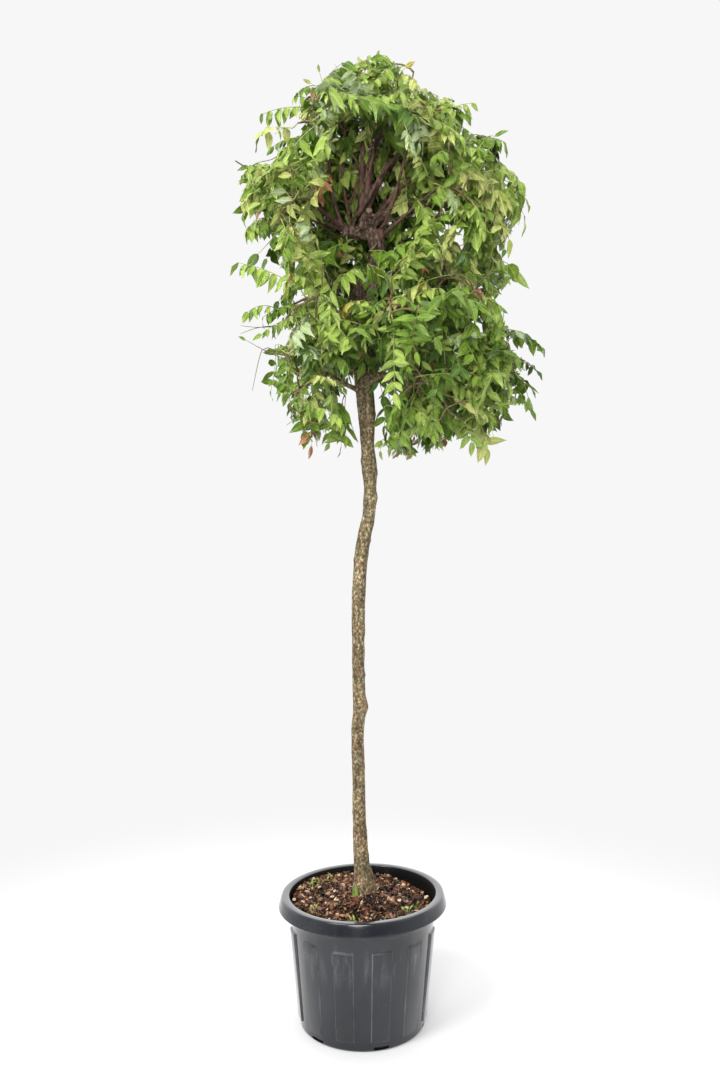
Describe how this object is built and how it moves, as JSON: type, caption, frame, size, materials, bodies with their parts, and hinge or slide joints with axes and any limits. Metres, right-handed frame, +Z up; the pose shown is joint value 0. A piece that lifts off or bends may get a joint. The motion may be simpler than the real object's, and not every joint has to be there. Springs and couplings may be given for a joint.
{
  "type": "potted standard wisteria",
  "caption": "Potted wisteria grown as a standard: a bare winding stem in a ribbed nursery pot carries a pruned head and a rounded leafy crown.",
  "frame": {"origin": "middle of the pot's flat underside", "axes": "+Z up along the stem, -Y towards the picture's camera, +X to the right in the picture"},
  "size_m": [0.8511, 0.807, 2.7983],
  "materials": {
    "pot_plastic": "satin",
    "potting_mix": "matte",
    "stem_bark": "matte",
    "bough_bark": "matte",
    "foliage": "satin"
  },
  "bodies": {
    "root": {"pot": "pot_plastic", "potting_mix": "potting_mix", "trunk": "stem_bark", "leader": "bough_bark", "knuckle": "bough_bark", "head_arm": "bough_bark", "pruned_upright": "bough_bark", "pruned_stub": "bough_bark", "bough_lower_left_front": "bough_bark", "bough_lower_left_back": "bough_bark", "bough_lower_front_right": "bough_bark", "bough_lower_right": "bough_bark", "bough_lower_back_right": "bough_bark", "bough_middle_left": "bough_bark", "bough_middle_front_left": "bough_bark", "bough_middle_front": "bough_bark", "bough_middle_front_right": "bough_bark", "bough_middle_right": "bough_bark", "bough_middle_back_right": "bough_bark", "bough_middle_back_left": "bough_bark", "bough_upper_left": "bough_bark", "bough_upper_front_left": "bough_bark", "bough_upper_front_right": "bough_bark", "bough_upper_right": "bough_bark", "bough_upper_back_right": "bough_bark", "bough_upper_back_left": "bough_bark", "bough_shoulder_left": "bough_bark", "bough_shoulder_front_left": "bough_bark", "bough_shoulder_front_right": "bough_bark", "bough_shoulder_right": "bough_bark", "bough_shoulder_back": "bough_bark", "bough_top_left": "bough_bark", "bough_top_right": "bough_bark", "foliage_lower_left_front": "foliage", "foliage_lower_left_back": "foliage", "foliage_lower_front_right": "foliage", "foliage_lower_right": "foliage", "foliage_lower_back_right": "foliage", "foliage_middle_left": "foliage", "foliage_middle_front_left": "foliage", "foliage_middle_front": "foliage", "foliage_middle_front_right": "foliage", "foliage_middle_right": "foliage", "foliage_middle_back_right": "foliage", "foliage_middle_back_left": "foliage", "foliage_upper_left": "foliage", "foliage_upper_front_left": "foliage", "foliage_upper_front_right": "foliage", "foliage_upper_right": "foliage", "foliage_upper_back_right": "foliage", "foliage_upper_back_left": "foliage", "foliage_shoulder_left": "foliage", "foliage_shoulder_front_left": "foliage", "foliage_shoulder_front_right": "foliage", "foliage_shoulder_right": "foliage", "foliage_shoulder_back": "foliage", "foliage_top_left": "foliage", "foliage_top_right": "foliage"}
  },
  "joints": []
}
